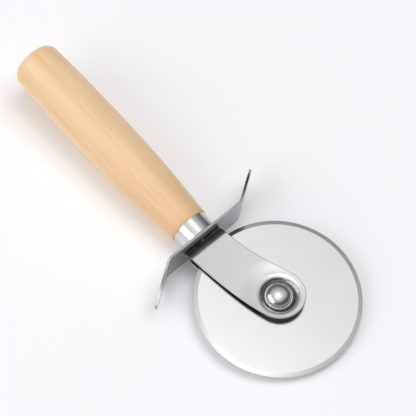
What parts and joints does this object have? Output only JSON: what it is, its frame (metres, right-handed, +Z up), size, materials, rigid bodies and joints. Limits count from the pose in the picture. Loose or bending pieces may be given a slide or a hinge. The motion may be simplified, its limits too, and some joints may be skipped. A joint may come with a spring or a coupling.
{
  "type": "pastry cutter wheel",
  "caption": "hand-held pastry and pizza cutter with a polished steel wheel on a riveted fork, a Z-bent finger guard, a steel ferrule and a turned pale wood handle",
  "frame": {"origin": "on the table plane, below the middle of the tool's box as it lies down", "axes": "+X forwards along the tool from the handle to the wheel, +Z up from the table, +Y across the tool to the side on which the wheel's centre is offset from the handle"},
  "size_m": [0.1748, 0.0732, 0.0273],
  "materials": {
    "wheel_steel": "mirror-polished stainless steel, duller on the ground bevel",
    "fork_steel": "polished stainless sheet with bright cut edges",
    "rivet_steel": "polished steel",
    "washer_steel": "bright polished steel",
    "guard_steel": "smooth sheet steel with bright cut edges",
    "ferrule_steel": "satin-bright plated steel",
    "handle_wood": "satin-lacquered pale hardwood with fine short flecks",
    "pin_steel": "plain drawn steel"
  },
  "bodies": {
    "frame": {"fork": "fork_steel", "axle_rivet": "rivet_steel", "rivet_cap": "rivet_steel", "upper_washer": "washer_steel", "lower_washer": "washer_steel", "guard": "guard_steel", "ferrule": "ferrule_steel", "handle": "handle_wood", "handle_pin": "pin_steel"},
    "wheel": {"wheel": "wheel_steel"}
  },
  "joints": [
    {"name": "wheel_spin", "type": "hinge", "parent": "frame", "child": "wheel", "pos_m": [0.05405, 0.0031, 0.00562], "axis": [0.0849, 0, 0.9964], "continuous": true}
  ]
}
